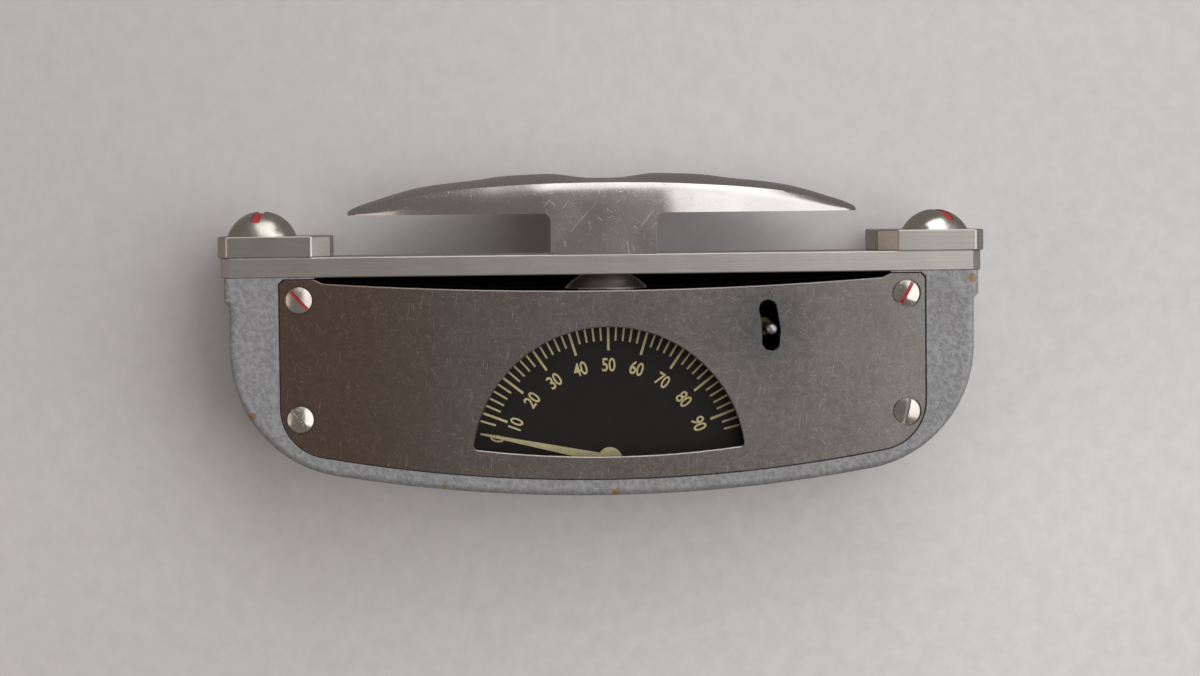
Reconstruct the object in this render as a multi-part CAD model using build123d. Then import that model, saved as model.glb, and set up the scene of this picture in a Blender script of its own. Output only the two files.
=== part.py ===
from build123d import *
import math
import os

# Flat-spring hand dynamometer, all sizes in mm.
# Frame: +X along the spring bar, +Z up through the handle, the dial faces -Y,
# origin at the middle of the lowest point of the housing.

# Housing and its front opening
DEPTH = 25.0
FRONT = -DEPTH / 2
BACK = DEPTH / 2
TOP = 46.5
HALF_WIDTH = 78.2
FLANGE_OUT = 1.0
FLANGE_TALL = 5.5
CORNER_R = 26.5
BELLY_R = 327.0
CORNER_X = HALF_WIDTH - CORNER_R
CORNER_Z = BELLY_R - math.sqrt((BELLY_R - CORNER_R) ** 2 - CORNER_X ** 2)
RIM = 3.3
SIDE_RIM = 10.4
BACK_WALL = 3.0
FRONT_ROUND = 1.4
BACK_ROUND = 3.0

# Front cover
COVER_T = 1.5
COVER_EDGE = 0.2
COVER_HALF = HALF_WIDTH - SIDE_RIM
COVER_GAP = 0.15
COVER_CORNER_R = 10.5
EAR_W = 7.3
EAR_TOP = TOP - 0.4
EAR_INNER = COVER_HALF - EAR_W
ARC_END_X = EAR_INNER - 1.8
ARC_END_Z = TOP - 1.3
ARC_MID_Z = TOP - 3.4
CAVITY_HALF = EAR_INNER - 1.3
COVER_SCREW_X = COVER_HALF - 4.1
COVER_SCREW_Z = (16.9, 41.8)
COVER_HEAD_R = 2.7
COVER_HEAD_H = 0.6
COVER_HEAD_SINK = 0.7
SMALL_SCREW_R = 1.25
WINDOW_R = 28.8
WINDOW_X = 0.75
WINDOW_Z = 6.6
WINDOW_LOW = 8.2
WINDOW_BOW_R = 214.7
PANE_LAP = 2.4
SLOT_W = 3.7
PANE_T = 1.2

# Spring bar, clamps and handle
BAR_OVERHANG = 1.6
BAR_HALF = HALF_WIDTH + BAR_OVERHANG
BAR_T = 4.2
BAR_TOP = TOP + BAR_T
BAR_CUT = 1.9
EDGE_BREAK = 0.2
PLATE_OUT = BAR_HALF + 0.65
PLATE_LONG = {-1: 23.4, 1: 22.3}
PLATE_T = 4.4
PLATE_TOP = BAR_TOP + PLATE_T
PLATE_CUT = 3.9
CLAMP_EDGE = 8.6
CLAMP_SCREW_X = PLATE_OUT - CLAMP_EDGE
CLAMP_SCREW_R = 4.0
THREAD_R = CLAMP_SCREW_R - 0.4
HOLE_R = CLAMP_SCREW_R + 0.1
DOME_R = {-1: 7.3, 1: 7.0}
DOME_H = {-1: 5.3, 1: 4.3}
DOME_SLOT_W = 2.0
DOME_SLOT_DEEP = 2.4
STEM_HALF = 10.65
STEM_DEEP = 12.2
FINGER_GAP = 8.6
HANDLE_BOTTOM = BAR_TOP + FINGER_GAP
HANDLE_X = 0.5
HANDLE_HALF = 54.3
ROOT_R = 1.7

# Half of the handle from the middle out: x, crest height, front edge height, half depth
HANDLE_SECTIONS = [
    (0.0, 7.5, 6.4, 12.4), (3.6, 7.55, 6.4, 12.4), (6.8, 7.95, 6.35, 12.35), (10.4, 8.4, 6.3, 12.2),
    (16.0, 8.3, 6.1, 11.9), (21.5, 8.0, 5.8, 11.4), (27.0, 7.25, 5.45, 10.7), (34.0, 6.5, 4.8, 9.5),
    (39.5, 5.65, 4.1, 8.2), (44.0, 4.5, 3.3, 6.9), (48.5, 3.1, 2.2, 5.2), (51.6, 2.1, 1.45, 3.7),
    (HANDLE_HALF, 1.0, 0.7, 1.8),
]

# Washer, bolt and pusher on the bolt's axis, from the bar down
AXIS_X = 1.05
WASHER_T = 3.2
WASHER_R = 8.85
HEAD_TOP = TOP - WASHER_T
HEAD_T = 5.0
HEAD_R = 6.0
NUT_TOP = HEAD_TOP - HEAD_T
NUT_T = 3.2
NUT_FLAT = 7.0
PUSHER_R = 2.0

# Movement
POINTER_Z = 7.3
LEVER_ARM = 7.0
LEVER_RISE = 23.79
LEVER_X = AXIS_X + LEVER_ARM
LEVER_Z = POINTER_Z + LEVER_RISE
TOE_T = 2.0
PUSHER_TIP = LEVER_Z + TOE_T / 2 + 0.08
RESET_X = 14.35
RESET_Z = 33.6
PIN_REACH = 20.77
PIN_ANGLE = 2.7
HOLD_ANGLE = 9.0
DIAL_R = 31.0
DIAL_EAR_Z = 14.0
DIAL_EAR_X = 33.8
PLATE_THICK = 1.5
FRONT_PLATE = (-6.4, -6.4 + PLATE_THICK)
BACK_PLATE = (5.0, 5.0 + PLATE_THICK)
DIAL = (FRONT_PLATE[0] - 0.8, FRONT_PLATE[0])
POINTER = (-8.9, -8.5)
POINTER_LONG = 27.9
GEAR = (-0.8, 0.8)
BRAKE = (2.6, 3.8)
BRAKE_R = 2.2
SHOE_R = 1.5
PILLAR_R = 1.8
PILLAR_SCREW_R = 1.0
POINTER_ARBOR_R = 0.6
LEVER_ARBOR_R = 0.8
POINTER_BUSH_R = 1.0
LEVER_BUSH_R = 1.3
PIN_R = 0.8
RESET_R = 1.0
SPRING_POST = (17.8, 24.5)
COIL_R = 2.3
WIRE_R = 0.2
STOP_REACH = 20.0
MODULE = 0.4
PINION_TEETH = 8
SECTOR_TEETH = 116
ADDENDUM = 0.34
DEDENDUM = 0.44
MESH_ANGLE = math.degrees(math.atan2(-LEVER_RISE, -LEVER_ARM))
SECTOR_SPAN = (-122.0, -101.0)
RUN = 0.03


def front_shape(face, y0, y1):
    """Extrude a shape drawn in front view, x and z, from depth y0 to y1."""
    return Pos(0, y1, 0) * extrude(Plane.XZ * face, y1 - y0)


def disc_y(x, z, r, y0, y1):
    """Round bar along the depth."""
    return Pos(x, (y0 + y1) / 2, z) * Rot(90, 0, 0) * Cylinder(r, y1 - y0)


def disc_z(x, y, r, z0, z1):
    """Round bar standing upright."""
    return Pos(x, y, (z0 + z1) / 2) * Cylinder(r, z1 - z0)


def block(x0, x1, y0, y1, z0, z1):
    """Box given by its limits."""
    return Pos((x0 + x1) / 2, (y0 + y1) / 2, (z0 + z1) / 2) * Box(x1 - x0, y1 - y0, z1 - z0)


def polar(cx, cz, r, degrees):
    """Point at an angle from +X around a centre, in front view."""
    return cx + r * math.cos(math.radians(degrees)), cz + r * math.sin(math.radians(degrees))


def belly(inset):
    """Front shape of the belly and its lower corners, moved in by inset."""
    r_small = CORNER_R - inset
    r_big = BELLY_R - inset
    side = CORNER_X + r_small
    reach = math.hypot(CORNER_X, BELLY_R - CORNER_Z)
    ux, uz = CORNER_X / reach, (CORNER_Z - BELLY_R) / reach
    touch = (r_big * ux, BELLY_R + r_big * uz)
    turn = math.degrees(math.atan2(uz, ux)) / 2
    bend = polar(CORNER_X, CORNER_Z, r_small, turn)
    right = [
        ThreePointArc((0, inset), (r_big * math.sin(0.086), BELLY_R - r_big * math.cos(0.086)), touch),
        ThreePointArc(touch, bend, (side, CORNER_Z)),
        Line((side, CORNER_Z), (side, TOP)),
        Line((side, TOP), (0, TOP)),
        Line((0, TOP), (0, inset)),
    ]
    half = make_face(Curve() + right)
    return half + mirror(half, Plane.YZ)


def cover_outline(grow):
    """Front shape of the cover, or of its recess when grown by the seam gap."""
    r_big = BELLY_R - RIM - COVER_GAP + grow
    r_small = COVER_CORNER_R + grow
    side = COVER_HALF + grow
    cx = COVER_HALF - COVER_CORNER_R
    cz = BELLY_R - math.sqrt((r_big - r_small) ** 2 - cx ** 2)
    reach = r_big - r_small
    ux, uz = cx / reach, (cz - BELLY_R) / reach
    touch = (r_big * ux, BELLY_R + r_big * uz)
    bend = polar(cx, cz, r_small, math.degrees(math.atan2(uz, ux)) / 2)
    half_arc = math.asin(ux) / 2
    bottom = (r_big * math.sin(half_arc), BELLY_R - r_big * math.cos(half_arc))
    top = EAR_TOP + grow
    sag_z = ARC_MID_Z + (ARC_END_Z - ARC_MID_Z) * 0.25
    right = [
        ThreePointArc((0, BELLY_R - r_big), bottom, touch),
        ThreePointArc(touch, bend, (side, cz)),
        Line((side, cz), (side, top - 1)),
        Line((side, top - 1), (side - 1, top)),
        Line((side - 1, top), (EAR_INNER, top)),
        Line((EAR_INNER, top), (ARC_END_X, ARC_END_Z + grow)),
        ThreePointArc((ARC_END_X, ARC_END_Z + grow), (ARC_END_X / 2, sag_z + grow), (0, ARC_MID_Z + grow)),
        Line((0, ARC_MID_Z + grow), (0, BELLY_R - r_big)),
    ]
    half = make_face(Curve() + right)
    return half + mirror(half, Plane.YZ)


def relief():
    """Space under the bar, above the hollow top edge of cover and back wall."""
    sag_z = ARC_MID_Z + (ARC_END_Z - ARC_MID_Z) * 0.25
    lines = [
        ThreePointArc((-ARC_END_X, ARC_END_Z), (0, ARC_MID_Z), (ARC_END_X, ARC_END_Z)),
        Line((ARC_END_X, ARC_END_Z), (EAR_INNER, EAR_TOP)),
        Line((EAR_INNER, EAR_TOP), (EAR_INNER, TOP + 2)),
        Line((EAR_INNER, TOP + 2), (-EAR_INNER, TOP + 2)),
        Line((-EAR_INNER, TOP + 2), (-EAR_INNER, EAR_TOP)),
        Line((-EAR_INNER, EAR_TOP), (-ARC_END_X, ARC_END_Z)),
    ]
    return front_shape(make_face(Curve() + lines), FRONT - 1, BACK + 1)


def flange():
    """Slightly wider top band of the housing."""
    out = HALF_WIDTH + FLANGE_OUT
    low = TOP - FLANGE_TALL
    pts = [(-out, TOP), (-out, low + 0.6), (-HALF_WIDTH, low - 0.4), (-HALF_WIDTH + 2, low - 0.4)]
    outline = pts + [(-x, z) for x, z in reversed(pts)]
    band = front_shape(make_face(Polyline(*outline, close=True)), FRONT, BACK)
    sides = band.edges().filter_by(lambda e: abs(e.center().X) > HALF_WIDTH - 0.1)
    ends = sides.filter_by(lambda e: abs(e.center().Y) > DEPTH / 2 - 0.01)
    front = ends.filter_by(lambda e: e.center().Y < 0)
    band = fillet(front, FRONT_ROUND)
    sides = band.edges().filter_by(lambda e: abs(e.center().X) > HALF_WIDTH - 0.1)
    back = sides.filter_by(lambda e: e.center().Y > DEPTH / 2 - 0.01)
    return fillet(back, BACK_ROUND)


def boss_places():
    """Places of the four bosses that carry the movement."""
    return [(-17.5, 13.0), (-17.5, 26.0), (21.5, 13.0), (20.0, 20.5)]


def housing():
    """Cast D-shaped housing, open in front and under the bar."""
    shell = front_shape(belly(0), FRONT, BACK)
    rim = shell.edges().filter_by(lambda e: e.center().Y < FRONT + 0.01 and e.center().Z < TOP - 0.1)
    shell = fillet(rim, FRONT_ROUND)
    rim = shell.edges().filter_by(lambda e: e.center().Y > BACK - 0.01 and e.center().Z < TOP - 0.1)
    shell = fillet(rim, BACK_ROUND) + flange()
    shell -= front_shape(cover_outline(COVER_GAP), FRONT - 1, FRONT + COVER_T)
    inner = belly(RIM) & (Pos(0, TOP / 2) * Rectangle(2 * CAVITY_HALF, TOP + 4))
    shell -= front_shape(inner, FRONT + COVER_T - 0.5, BACK - BACK_WALL)
    shell -= relief()
    for x, z in boss_places():
        shell += disc_y(x, z, 3.2, BACK_PLATE[1], BACK - BACK_WALL + 0.2)
        shell -= disc_y(x, z, SMALL_SCREW_R, BACK_PLATE[1] - 1, BACK - BACK_WALL + 1)
    for x in (-COVER_SCREW_X, COVER_SCREW_X):
        for z in COVER_SCREW_Z:
            shell -= disc_y(x, z, SMALL_SCREW_R, FRONT, FRONT + COVER_T + 9)
    for x in (-CLAMP_SCREW_X, CLAMP_SCREW_X):
        shell -= disc_z(x, 0, THREAD_R, TOP - 15, TOP + 1)
    return shell


def front_cover():
    """Flush cover with the dial window, the lever slot and four sunk screw seats."""
    plate = front_shape(cover_outline(0), FRONT, FRONT + COVER_T)
    plate -= front_shape(window_shape(0), FRONT - 1, FRONT + COVER_T + 1)
    plate -= lever_slot()
    plate = chamfer(plate.edges().group_by(Axis.Y)[0], COVER_EDGE)
    for x in (-COVER_SCREW_X, COVER_SCREW_X):
        for z in COVER_SCREW_Z:
            plate -= disc_y(x, z, SMALL_SCREW_R + 0.35, FRONT - 1, FRONT + COVER_T + 1)
            plate -= disc_y(x, z, COVER_HEAD_R + 0.4, FRONT - 1, FRONT + COVER_HEAD_SINK)
    return plate


def window_shape(grow):
    """Half-round window with a slightly bowed lower edge."""
    round_part = Pos(WINDOW_X, WINDOW_Z) * Circle(WINDOW_R + grow)
    low = Pos(WINDOW_X, WINDOW_LOW + WINDOW_BOW_R) * Circle(WINDOW_BOW_R + grow)
    return fillet((round_part & low).vertices(), 0.9 + grow)


def lever_slot():
    """Curved slot for the lever pin."""
    arc = CenterArc((RESET_X, RESET_Z), PIN_REACH, -4.7, 19.2)
    return front_shape(SlotArc(arc, SLOT_W), FRONT - 1, FRONT + COVER_T + 1)


def cover_screws():
    """Four slotted screws with slightly domed heads, sunk in the cover."""
    turns = {(-1, 1): 48, (1, 1): -60, (-1, 0): 55, (1, 0): -77}
    ball_r = (COVER_HEAD_R ** 2 + COVER_HEAD_H ** 2) / (2 * COVER_HEAD_H)
    front = FRONT - COVER_HEAD_H + 0.1
    screws = []
    for side in (-1, 1):
        for row in (0, 1):
            x, z = side * COVER_SCREW_X, COVER_SCREW_Z[row]
            head = disc_y(x, z, COVER_HEAD_R, front, FRONT + COVER_HEAD_SINK)
            head = head & Pos(x, front + ball_r, z) * Sphere(ball_r)
            body = head + disc_y(x, z, SMALL_SCREW_R, FRONT + COVER_HEAD_SINK - 0.1, FRONT + COVER_T + 8)
            cut = Pos(x, front, z) * Rot(0, turns[(side, row)], 0) * Box(7, 1.7, 0.75)
            screws.append(body - cut)
    return Compound(children=screws)


def window_pane():
    """Clear pane cemented behind the window."""
    return front_shape(window_shape(PANE_LAP), FRONT + COVER_T, FRONT + COVER_T + PANE_T)


def bar_blank(x0, x1, z0, z1, cut_in, cut_out):
    """Flat stock with its plan corners cut and its edges broken; x0 is the inner end."""
    plan = Pos((x0 + x1) / 2, 0) * Rectangle(abs(x1 - x0), DEPTH)
    inner = plan.vertices().sort_by(Axis.X)[:2] if x0 < x1 else plan.vertices().sort_by(Axis.X)[-2:]
    plan = chamfer(inner, cut_in)
    outer = plan.vertices().sort_by(Axis.X)[-2:] if x0 < x1 else plan.vertices().sort_by(Axis.X)[:2]
    plan = chamfer(outer, cut_out)
    stock = Pos(0, 0, z0) * extrude(plan, z1 - z0)
    return chamfer(stock.edges(), EDGE_BREAK)


def flat_spring():
    """Spring bar with a middle bolt hole and two clamp holes."""
    bar = bar_blank(-BAR_HALF, BAR_HALF, TOP, BAR_TOP, BAR_CUT, BAR_CUT)
    for x in (AXIS_X, -CLAMP_SCREW_X, CLAMP_SCREW_X):
        bar -= disc_z(x, 0, HOLE_R, TOP - 1, BAR_TOP + 1)
    return bar


def clamp_plate(side):
    """Plate that holds one end of the bar down."""
    inner = PLATE_OUT - PLATE_LONG[side]
    plate = bar_blank(side * inner, side * PLATE_OUT, BAR_TOP, PLATE_TOP, PLATE_CUT, BAR_CUT)
    return plate - disc_z(side * CLAMP_SCREW_X, 0, HOLE_R, BAR_TOP - 1, PLATE_TOP + 1)


def dome_head(x, z0, r, h):
    """Round-head screw top as a cut ball."""
    ball_r = (r * r + h * h) / (2 * h)
    ball = Pos(x, 0, z0 + h - ball_r) * Sphere(ball_r)
    return ball & block(x - r - 1, x + r + 1, -r - 1, r + 1, z0, z0 + h + 1)


def clamp_screw(side, turn):
    """Round-head slotted screw through plate and bar into the housing."""
    x = side * CLAMP_SCREW_X
    radius, height = DOME_R[side], DOME_H[side]
    body = dome_head(x, PLATE_TOP, radius, height)
    slot = Box(DOME_SLOT_W, 3 * radius, DOME_SLOT_DEEP)
    body -= Pos(x, 0, PLATE_TOP + height - DOME_SLOT_DEEP / 2) * Rot(0, 0, turn) * slot
    body += disc_z(x, 0, CLAMP_SCREW_R, TOP, PLATE_TOP + 0.1)
    return body + disc_z(x, 0, THREAD_R, TOP - 14, TOP + 0.1)


def handle_section(x, crest, edge, half):
    """One cross section of the grip, arched on top."""
    low, edge, crest = HANDLE_BOTTOM, HANDLE_BOTTOM + edge, HANDLE_BOTTOM + crest
    side = Line((half, low), (half, edge))
    arch = ThreePointArc((half, edge), (0, crest), (-half, edge))
    other = Line((-half, edge), (-half, low))
    base = Line((-half, low), (half, low))
    return Pos(HANDLE_X + x, 0, 0) * (Plane.YZ * make_face(Curve() + [side, arch, other, base]))


def grip_handle():
    """T-shaped handle with a boat-shaped grip on a square stem."""
    right = [handle_section(*s) for s in HANDLE_SECTIONS]
    left = [handle_section(-s[0], *s[1:]) for s in reversed(HANDLE_SECTIONS[1:])]
    grip = loft(left + right, ruled=True)
    west, east = HANDLE_X - STEM_HALF, HANDLE_X + STEM_HALF
    stem = block(west, east, -STEM_DEEP, STEM_DEEP, BAR_TOP, HANDLE_BOTTOM + 3)
    deep = STEM_DEEP - 0.1
    root = block(west - ROOT_R, east + ROOT_R, -deep, deep, HANDLE_BOTTOM - ROOT_R, HANDLE_BOTTOM + 1)
    for x in (west - ROOT_R, east + ROOT_R):
        root -= disc_y(x, HANDLE_BOTTOM - ROOT_R, ROOT_R, -13, 13)
    body = grip + stem + root
    return body - disc_z(AXIS_X, 0, THREAD_R, BAR_TOP - 1, HANDLE_BOTTOM + 2)


def handle_bolt():
    """Bolt from below through washer and bar into the stem, tapped for the pusher."""
    body = disc_z(AXIS_X, 0, HEAD_R, NUT_TOP, HEAD_TOP)
    body += disc_z(AXIS_X, 0, CLAMP_SCREW_R, HEAD_TOP - 0.1, BAR_TOP)
    body += disc_z(AXIS_X, 0, THREAD_R, BAR_TOP - 0.1, HANDLE_BOTTOM + 1)
    return body - disc_z(AXIS_X, 0, PUSHER_R, NUT_TOP - 1, HEAD_TOP + 3)


def domed_washer():
    """Thick washer, domed on top, that lets the bar rock on it."""
    ball = dome_head(AXIS_X, HEAD_TOP, WASHER_R, WASHER_T + 1.0)
    ball = ball & disc_z(AXIS_X, 0, WASHER_R, HEAD_TOP, TOP)
    return ball - disc_z(AXIS_X, 0, HOLE_R, HEAD_TOP - 1, TOP + 1)


def pusher_screw():
    """Adjusting screw with a round tip that bears on the lever."""
    ball_z = PUSHER_TIP + PUSHER_R
    rod = disc_z(AXIS_X, 0, PUSHER_R, ball_z, HEAD_TOP + 2)
    return rod + Pos(AXIS_X, 0, ball_z) * Sphere(PUSHER_R)


def pusher_lock_nut():
    """Hexagon nut that locks the pusher."""
    hexagon = RegularPolygon(NUT_FLAT / 2, 6, major_radius=False)
    nut = Pos(AXIS_X, 0, NUT_TOP - NUT_T) * extrude(hexagon, NUT_T)
    return nut - disc_z(AXIS_X, 0, PUSHER_R, NUT_TOP - NUT_T - 1, NUT_TOP + 1)


def inside_belly():
    """Room inside the housing wall for flat pieces, in front view."""
    return Pos(0, BELLY_R) * Circle(BELLY_R - RIM - 0.6)


def dial_plate():
    """Dial with two ears for its screws."""
    disc = Pos(AXIS_X, POINTER_Z) * Circle(DIAL_R)
    ears = Pos(AXIS_X, DIAL_EAR_Z) * Rectangle(2 * (DIAL_EAR_X + 2.6), 6.4)
    plate = front_shape((disc + ears) & inside_belly(), *DIAL)
    plate -= disc_y(AXIS_X, POINTER_Z, 1.3, DIAL[0] - 1, DIAL[1] + 1)
    for x in ear_places():
        plate -= disc_y(x, DIAL_EAR_Z, PILLAR_SCREW_R + 0.05, DIAL[0] - 1, DIAL[1] + 1)
    return plate


def ear_places():
    """X positions of the two dial screws."""
    return [AXIS_X - DIAL_EAR_X, AXIS_X + DIAL_EAR_X]


def dial_screws():
    """Two small cheese-head screws."""
    screws = []
    z, front = DIAL_EAR_Z, DIAL[0]
    for x in ear_places():
        head = disc_y(x, z, 1.9, front - 1.2, front)
        head += disc_y(x, z, PILLAR_SCREW_R, front - 0.1, FRONT_PLATE[1] + 0.4)
        screws.append(head - block(x - 3, x + 3, front - 1.8, front - 0.7, z - 0.25, z + 0.25))
    return Compound(children=screws)


def plate_shape(half):
    """Movement plate outline that follows the belly below."""
    box = Pos(AXIS_X + 0.4, 20.0) * Rectangle(2 * half, 32.0)
    box = box + Pos(AXIS_X, 6) * Rectangle(2 * half - 8, 8)
    return box & inside_belly()


def pillar_places():
    """Places of the four pillars between the plates."""
    return [(-19.0, 8.0), (-19.0, 32.0), (21.6, 8.0), (21.6, 26.5)]


def drilled(plate, holes, y0, y1):
    """Plate with through holes given as x, z and radius."""
    for x, z, r in holes:
        plate -= disc_y(x, z, r, y0 - 1, y1 + 1)
    return plate


def movement_front_plate():
    """Front plate of the movement, with ears behind the dial screws."""
    ears = Pos(AXIS_X, DIAL_EAR_Z) * Rectangle(2 * (DIAL_EAR_X + 2.2), 6.0)
    plate = front_shape(plate_shape(23.0) + ears, *FRONT_PLATE)
    holes = [(AXIS_X, POINTER_Z, POINTER_BUSH_R), (LEVER_X, LEVER_Z, LEVER_BUSH_R)]
    holes += [(x, DIAL_EAR_Z, PILLAR_SCREW_R) for x in ear_places()]
    holes += [(x, z, PILLAR_SCREW_R + 0.05) for x, z in pillar_places()]
    return drilled(plate, holes, *FRONT_PLATE)


def movement_back_plate():
    """Back plate of the movement, screwed to the housing bosses."""
    plate = front_shape(plate_shape(25.0), *BACK_PLATE)
    holes = [(AXIS_X, POINTER_Z, POINTER_BUSH_R), (LEVER_X, LEVER_Z, LEVER_BUSH_R)]
    holes += [(RESET_X, RESET_Z, RESET_R)]
    holes += [(x, z, PILLAR_SCREW_R + 0.05) for x, z in pillar_places()]
    holes += [(x, z, SMALL_SCREW_R + 0.35) for x, z in boss_places()]
    holes += [(x, z, PIN_R) for x, z in fixed_pins()]
    return drilled(plate, holes, *BACK_PLATE)


def movement_pillars():
    """Four pillars, tapped right through for their screws."""
    y0, y1 = FRONT_PLATE[1], BACK_PLATE[0]
    tubes = [bush(x, z, PILLAR_R, PILLAR_SCREW_R, y0, y1) for x, z in pillar_places()]
    return Compound(children=tubes)


def pillar_screws():
    """Eight small screws that hold the plates on the pillars."""
    screws = []
    out = BACK_PLATE[1]
    for x, z in pillar_places():
        front = disc_y(x, z, PILLAR_SCREW_R, FRONT_PLATE[0], FRONT_PLATE[1] + 3)
        back = disc_y(x, z, PILLAR_R, out, out + 1.2)
        back -= block(x - 3, x + 3, out + 0.7, out + 2, z - 0.25, z + 0.25)
        screws += [front, back + disc_y(x, z, PILLAR_SCREW_R, BACK_PLATE[0] - 3, out + 0.1)]
    return Compound(children=screws)


def mounting_screws():
    """Four screws from the back plate into the housing bosses."""
    screws = []
    face = BACK_PLATE[0]
    for x, z in boss_places():
        head = disc_y(x, z, 2.5, face - 1.6, face)
        head -= block(x - 4, x + 4, face - 3, face - 0.9, z - 0.4, z + 0.4)
        screws.append(head + disc_y(x, z, SMALL_SCREW_R, face - 0.1, BACK - BACK_WALL))
    return Compound(children=screws)


def bush(x, z, r_out, r_in, y0, y1):
    """Plain bearing bush pressed into a plate."""
    return disc_y(x, z, r_out, y0, y1) - disc_y(x, z, r_in, y0 - 1, y1 + 1)


def bush_pair(x, z, r_out, r_arbor):
    """Bushes in both plates for one arbor."""
    pair = [bush(x, z, r_out, r_arbor + RUN, *plate) for plate in (FRONT_PLATE, BACK_PLATE)]
    return Compound(children=pair)


def pointer_bushes():
    """Two bushes for the pointer arbor."""
    return bush_pair(AXIS_X, POINTER_Z, POINTER_BUSH_R, POINTER_ARBOR_R)


def lever_bushes():
    """Two bushes for the sector arbor."""
    return bush_pair(LEVER_X, LEVER_Z, LEVER_BUSH_R, LEVER_ARBOR_R)


def stop_place():
    """Zero stop just beside the sector's left edge."""
    side = math.degrees(math.asin((PIN_R + 0.05) / STOP_REACH))
    return polar(LEVER_X, LEVER_Z, STOP_REACH, SECTOR_SPAN[0] - side)


def fixed_pins():
    """Spring post and zero stop."""
    return [SPRING_POST, stop_place()]


def spring_post():
    """Pin that holds the fixed leg of the return spring."""
    return disc_y(*SPRING_POST, PIN_R, 0.9, BACK_PLATE[1])


def zero_stop_pin():
    """Pin that the sector rests against at zero."""
    return disc_y(*stop_place(), PIN_R, GEAR[0] - 0.4, BACK_PLATE[1])


def reset_stud():
    """Shouldered stud that the reset lever turns on."""
    stud = disc_y(RESET_X, RESET_Z, RESET_R, BRAKE[0] - 1.0, BACK_PLATE[1])
    return stud + disc_y(RESET_X, RESET_Z, 1.7, BRAKE[0] - 1.0, BRAKE[0] - 0.2)


def tooth_face(cx, cz, pitch_r, teeth, centre, add, ded):
    """One involute tooth in front view, its middle at the given angle."""
    press = math.radians(28)
    base = pitch_r * math.cos(press)
    half = math.pi / (2 * teeth) * 0.87
    inv = math.tan(press) - press
    rows = []
    for k in range(5):
        r = pitch_r - ded + (add + ded) * k / 4
        roll = math.acos(base / r) if r > base else 0.0
        rows.append((r, half + inv - (math.tan(roll) - roll)))
    rows.insert(0, (pitch_r - ded - 0.25, rows[0][1]))
    left = [polar(cx, cz, r, centre + math.degrees(a)) for r, a in rows]
    right = [polar(cx, cz, r, centre - math.degrees(a)) for r, a in reversed(rows)]
    return make_face(Polyline(*left, *right, close=True))


def pinion():
    """Eight-leaf pinion, a gap facing the sector."""
    r = MODULE * PINION_TEETH / 2
    shape = Pos(AXIS_X, POINTER_Z) * Circle(r - DEDENDUM + 0.04)
    step = 360 / PINION_TEETH
    for k in range(PINION_TEETH):
        angle = MESH_ANGLE + 180 + step / 2 + k * step
        shape += tooth_face(AXIS_X, POINTER_Z, r, PINION_TEETH, angle, ADDENDUM, DEDENDUM)
    return front_shape(shape, GEAR[0] - 0.6, GEAR[1] + 0.6) - disc_y(AXIS_X, POINTER_Z, POINTER_ARBOR_R, -4, 4)


def sector_face():
    """Toothed segment, a tooth facing the pinion at rest."""
    r = MODULE * SECTOR_TEETH / 2
    step = 360 / SECTOR_TEETH
    rim = Pos(LEVER_X, LEVER_Z) * (Circle(r - DEDENDUM) - Circle(r - 2.6))
    pts = [(LEVER_X, LEVER_Z)] + [polar(LEVER_X, LEVER_Z, 40, a) for a in SECTOR_SPAN]
    shape = rim & make_face(Polyline(*pts, close=True))
    for k in range(-1, 5):
        angle = MESH_ANGLE - k * step
        shape += tooth_face(LEVER_X, LEVER_Z, r, SECTOR_TEETH, angle, ADDENDUM, DEDENDUM)
    return shape


def sector_lever():
    """Lever with a short pusher arm and a long arm that ends in the teeth."""
    hub = Pos(LEVER_X, LEVER_Z) * Circle(2.6)
    arm = Polyline(
        polar(LEVER_X, LEVER_Z, 2.2, -190), polar(LEVER_X, LEVER_Z, 22.0, -117.5),
        polar(LEVER_X, LEVER_Z, 22.0, -105.5), polar(LEVER_X, LEVER_Z, 2.2, -30), close=True)
    end = AXIS_X - 1.8
    toe = Pos((LEVER_X + end) / 2, LEVER_Z) * Rectangle(LEVER_X - end, TOE_T)
    toe += Pos(end, LEVER_Z) * Circle(TOE_T / 2)
    shape = hub + make_face(arm) + toe + sector_face()
    return front_shape(shape, *GEAR) - disc_y(LEVER_X, LEVER_Z, LEVER_ARBOR_R, -3, 3)


def sector_arbor():
    """Arbor of the lever, running in two bushes."""
    return disc_y(LEVER_X, LEVER_Z, LEVER_ARBOR_R, FRONT_PLATE[0], BACK_PLATE[1])


def sector_collar():
    """Collar that fixes the lever on its arbor."""
    return bush(LEVER_X, LEVER_Z, 1.9, LEVER_ARBOR_R, GEAR[0] - 1.6, GEAR[0])


def return_spring():
    """Coil around the arbor with one leg beside the lever and one past the post."""
    x, z = LEVER_X, LEVER_Z
    steps, start, turn = 28, 180.0, 849.0
    y0, y1 = GEAR[1] + 0.6, BRAKE[0] - 0.5
    pts = [(x - COIL_R, y0, z - 5.8), (x - COIL_R, y0, z - 2.9)]
    for k in range(steps + 1):
        px, pz = polar(x, z, COIL_R, start - turn * k / steps)
        pts.append((px, y0 + (y1 - y0) * k / steps, pz))
    end = (SPRING_POST[0] + 1.5, y1, SPRING_POST[1] + 0.45)
    pts.append(((pts[-1][0] + end[0]) / 2, y1, (pts[-1][2] + end[2]) / 2))
    pts.append(end)
    path = Spline(*pts)
    return sweep(Plane(path @ 0, z_dir=path % 0) * Circle(WIRE_R), path=path)


def pointer_arbor():
    """Arbor that carries pinion, brake disc and pointer."""
    return disc_y(AXIS_X, POINTER_Z, POINTER_ARBOR_R, POINTER[0] - 0.3, BACK_PLATE[1])


def pointer_hub():
    """Brass hub that the pointer is riveted on."""
    return bush(AXIS_X, POINTER_Z, 1.15, POINTER_ARBOR_R, POINTER[1], DIAL[0] - 0.2)


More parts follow.
